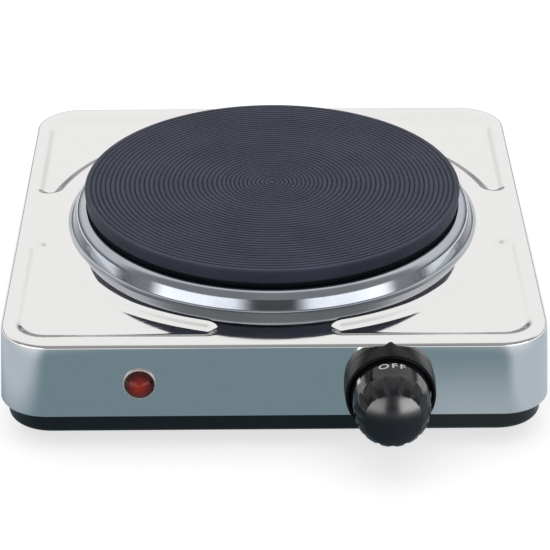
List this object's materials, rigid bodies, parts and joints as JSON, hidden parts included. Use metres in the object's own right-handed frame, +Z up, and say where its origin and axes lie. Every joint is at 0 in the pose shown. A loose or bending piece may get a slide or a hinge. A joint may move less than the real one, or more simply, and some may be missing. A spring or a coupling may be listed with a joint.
{
  "type": "hot plate burner",
  "caption": "Table-top electric hot plate: a grooved cast iron plate in a polished ring on a steel box, with a thermostat knob and a pilot lamp on the front.",
  "frame": {"origin": "on the table, under the middle of the object's box", "axes": "+Z up, +Y from the knob's side to the back, +X to the right seen from the knob's side"},
  "size_m": [0.2126, 0.2528, 0.0604],
  "materials": {
    "cast_iron": "matt, turned rings",
    "polished_steel": "polished",
    "bright_ring": "mirror",
    "black_enamel": "gloss",
    "knob_black": "gloss",
    "bezel_black": "satin",
    "lens_red": "gloss, translucent",
    "foot_rubber": "matt",
    "zinc_steel": "zinc plated",
    "shield_aluminium": "mill",
    "resistance_alloy": "oxidised",
    "cement": "rough",
    "ceramic": "matt",
    "brass": "plain",
    "contact_silver": "polished",
    "bimetal": "rolled",
    "lamp_nylon": "plain",
    "bulb_glass": "clear",
    "sleeve_brown": "satin",
    "sleeve_blue": "satin",
    "sleeve_green": "satin"
  },
  "bodies": {
    "chassis": {"hot_plate": "cast_iron", "heating_coil": "resistance_alloy", "coil_cement": "cement", "plate_cover": "zinc_steel", "terminal_pins": "zinc_steel", "pin_beads": "ceramic", "centre_stud": "zinc_steel", "stud_spacer": "zinc_steel", "stud_washer": "zinc_steel", "stud_nut": "zinc_steel", "trim_ring": "bright_ring", "housing": "polished_steel", "bridge_bracket": "zinc_steel", "heat_shield": "shield_aluminium", "base_pan": "black_enamel", "foot_front_left": "foot_rubber", "foot_front_right": "foot_rubber", "foot_rear_left": "foot_rubber", "foot_rear_right": "foot_rubber", "foot_screws": "zinc_steel", "corner_pillars": "zinc_steel", "knob_bezel": "bezel_black", "bush_nut": "zinc_steel", "spindle_bush": "brass", "thermostat_frame": "zinc_steel", "stack_insulators": "ceramic", "stack_rivet": "zinc_steel", "terminal_tabs": "brass", "spade_connectors": "brass", "bimetal_root": "bimetal", "lamp_bezel": "bright_ring", "lamp_lens": "lens_red", "lamp_body": "lamp_nylon", "lamp_clip": "zinc_steel", "neon_bulb": "bulb_glass", "lamp_resistor": "lamp_nylon", "cord_gland": "foot_rubber", "terminal_block": "ceramic", "terminal_inserts": "brass", "terminal_screws": "brass", "block_screws": "zinc_steel", "earth_stud": "zinc_steel", "earth_tag": "brass", "earth_nut": "zinc_steel", "wire_live": "sleeve_brown", "wire_switched": "sleeve_brown", "wire_neutral": "sleeve_blue", "wire_earth": "sleeve_green", "lamp_lead_switched": "sleeve_brown", "lamp_lead_neutral": "sleeve_blue"},
    "knob": {"knob": "knob_black", "knob_clip": "zinc_steel", "spindle": "zinc_steel", "spindle_circlip": "zinc_steel"},
    "leaf": {"contact_leaf": "brass", "leaf_contact": "contact_silver"},
    "bimetal": {"bimetal_blade": "bimetal", "blade_link": "ceramic", "switch_leaf": "brass", "switch_contact": "contact_silver"}
  },
  "joints": [
    {"name": "knob_turn", "type": "hinge", "parent": "chassis", "child": "knob", "pos_m": [0.0437, -0.09701, 0.02705], "axis": [0, 0.9988, -0.0494], "range_deg": [0, 280]},
    {"name": "leaf_flex", "type": "hinge", "parent": "chassis", "child": "leaf", "pos_m": [0.03545, -0.09002, 0.0267], "axis": [0, 0.0494, 0.9988], "range_deg": [0, 4.4]},
    {"name": "bimetal_curl", "type": "hinge", "parent": "chassis", "child": "bimetal", "pos_m": [0.03545, -0.08313, 0.02636], "axis": [0, 0.0494, 0.9988], "range_deg": [0, 3], "stiffness_Nm_per_rad": 0.02}
  ],
  "couplings": [
    {"joint": "leaf_flex", "follows": "knob_turn", "ratio": 0.014286}
  ]
}
